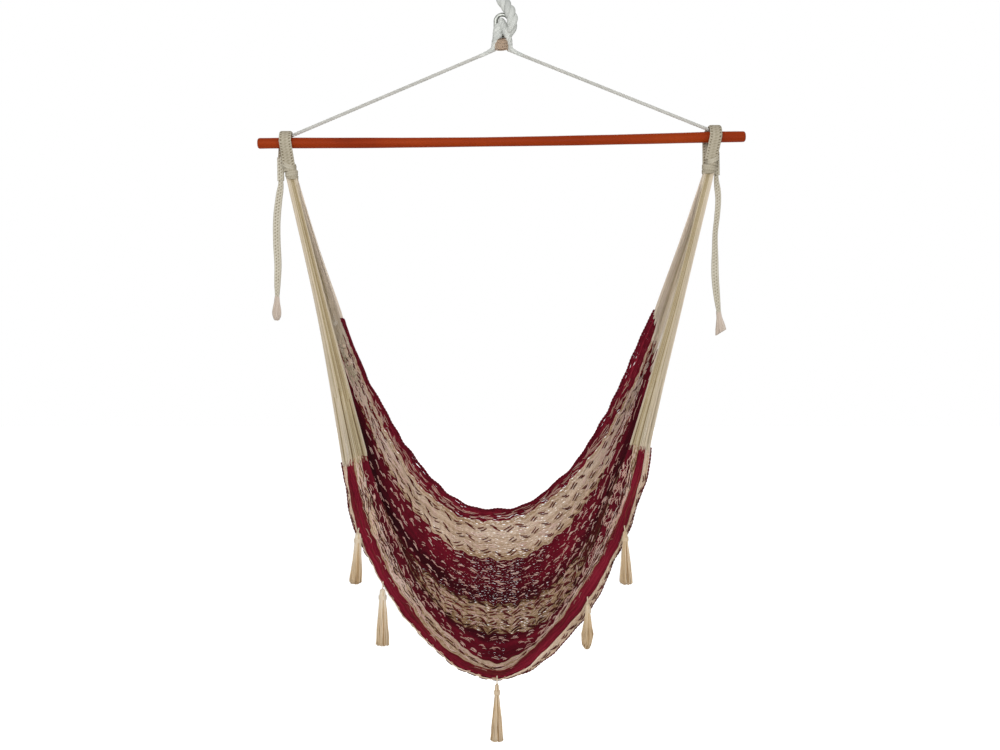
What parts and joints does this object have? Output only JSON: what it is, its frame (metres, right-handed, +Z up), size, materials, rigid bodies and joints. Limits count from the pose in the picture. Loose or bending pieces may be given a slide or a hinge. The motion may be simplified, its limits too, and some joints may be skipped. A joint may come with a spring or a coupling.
{
  "type": "hammock chair",
  "caption": "Hanging hammock chair: a striped net seat slung by its end strings from a wooden spreader bar under a rope loop, with tassels along its front edge.",
  "frame": {"origin": "inside of the rope loop's top, where the loop bears on the hook that holds the chair up", "axes": "+Z up, +Y away from someone who faces the open front of the seat, +X to that person's right"},
  "size_m": [1, 0.2389, 1.6418],
  "materials": {
    "stained_wood": "reddish brown stain, satin",
    "white_rope": "soft twisted white rope",
    "steel": "zinc-plated wire",
    "tan_twine": "tight twine turns",
    "grey_cord": "braided cord with dark flecks",
    "cream_cotton": "braided and loose cotton strings",
    "burgundy_cord": "woven cotton cord",
    "tan_cord": "woven cotton cord",
    "tassel_cotton": "loose cotton yarn"
  },
  "bodies": {
    "loop": {"rope_loop": "white_rope"},
    "knot": {"loop_knot": "white_rope"},
    "rope": {"rope_top": "white_rope"},
    "suspension": {"hanging_rope": "white_rope", "steel_ring": "steel", "eye_strand_left": "white_rope", "eye_strand_right": "white_rope", "apex_whipping": "tan_twine", "left_suspension_cord": "grey_cord", "right_suspension_cord": "grey_cord", "left_bar_hitch": "grey_cord", "right_bar_hitch": "grey_cord"},
    "bar": {"spreader_bar": "stained_wood"},
    "net": {"left_strap": "cream_cotton", "right_strap": "cream_cotton", "left_knot_upper": "cream_cotton", "left_knot_lower": "cream_cotton", "right_knot_upper": "cream_cotton", "right_knot_lower": "cream_cotton", "left_tail_root": "cream_cotton", "right_tail_root": "cream_cotton", "left_front_strings": "cream_cotton", "left_back_strings": "cream_cotton", "right_front_strings": "cream_cotton", "right_back_strings": "cream_cotton", "net_burgundy_1": "burgundy_cord", "net_tan_1": "tan_cord", "net_burgundy_2": "burgundy_cord", "net_tan_2": "tan_cord", "net_burgundy_3": "burgundy_cord", "net_tan_3": "tan_cord", "net_burgundy_4": "burgundy_cord", "net_tan_4": "tan_cord", "back_edge_cord": "burgundy_cord", "front_edge_cord": "burgundy_cord", "tassel_1_thread": "tassel_cotton", "tassel_2_thread": "tassel_cotton", "tassel_3_thread": "tassel_cotton", "tassel_4_thread": "tassel_cotton", "tassel_5_thread": "tassel_cotton"},
    "left_tail": {"left_tail": "cream_cotton", "left_tail_tuft": "cream_cotton"},
    "right_tail": {"right_tail": "cream_cotton", "right_tail_tuft": "cream_cotton"},
    "tassel_1": {"tassel_1": "tassel_cotton"},
    "tassel_2": {"tassel_2": "tassel_cotton"},
    "tassel_3": {"tassel_3": "tassel_cotton"},
    "tassel_4": {"tassel_4": "tassel_cotton"},
    "tassel_5": {"tassel_5": "tassel_cotton"}
  },
  "joints": [
    {"name": "side_swing", "type": "hinge", "parent": "loop", "child": "knot", "pos_m": [0, 0, -0.07775], "axis": [0, 1, 0], "range_deg": [-20, 20]},
    {"name": "fore_aft_swing", "type": "hinge", "parent": "knot", "child": "rope", "pos_m": [0, 0, -0.07775], "axis": [1, 0, 0], "range_deg": [-45, 45]},
    {"name": "rope_twist", "type": "hinge", "parent": "rope", "child": "suspension", "pos_m": [0, 0, -0.114], "axis": [0, 0, 1], "range_deg": [-180, 180]},
    {"name": "bar_roll", "type": "hinge", "parent": "suspension", "child": "bar", "pos_m": [0, 0, -0.412], "axis": [0.9999, 0, 0.014], "continuous": true},
    {"name": "seat_swing", "type": "hinge", "parent": "suspension", "child": "net", "pos_m": [0, 0, -0.412], "axis": [0.9999, 0, 0.014], "range_deg": [-45, 45]},
    {"name": "left_tail_swing", "type": "hinge", "parent": "net", "child": "left_tail", "pos_m": [-0.45389, 0.01, -0.50194], "axis": [0, 1, 0], "range_deg": [-8, 70]},
    {"name": "right_tail_swing", "type": "hinge", "parent": "net", "child": "right_tail", "pos_m": [0.44252, 0.0142, -0.48943], "axis": [0, 1, 0], "range_deg": [-70, 8]},
    {"name": "tassel_1_swing", "type": "hinge", "parent": "net", "child": "tassel_1", "pos_m": [-0.28535, -0.09005, -1.21043], "axis": [1, 0, 0], "range_deg": [-60, 3]},
    {"name": "tassel_2_swing", "type": "hinge", "parent": "net", "child": "tassel_2", "pos_m": [-0.235, -0.11005, -1.31907], "axis": [1, 0, 0], "range_deg": [-60, 3]},
    {"name": "tassel_3_swing", "type": "hinge", "parent": "net", "child": "tassel_3", "pos_m": [-0.00897, -0.1279, -1.50332], "axis": [1, 0, 0], "range_deg": [-45, 45]},
    {"name": "tassel_4_swing", "type": "hinge", "parent": "net", "child": "tassel_4", "pos_m": [0.16969, -0.12368, -1.34592], "axis": [1, 0, 0], "range_deg": [-60, 3]},
    {"name": "tassel_5_swing", "type": "hinge", "parent": "net", "child": "tassel_5", "pos_m": [0.24516, -0.09815, -1.20609], "axis": [1, 0, 0], "range_deg": [-60, 3]}
  ]
}
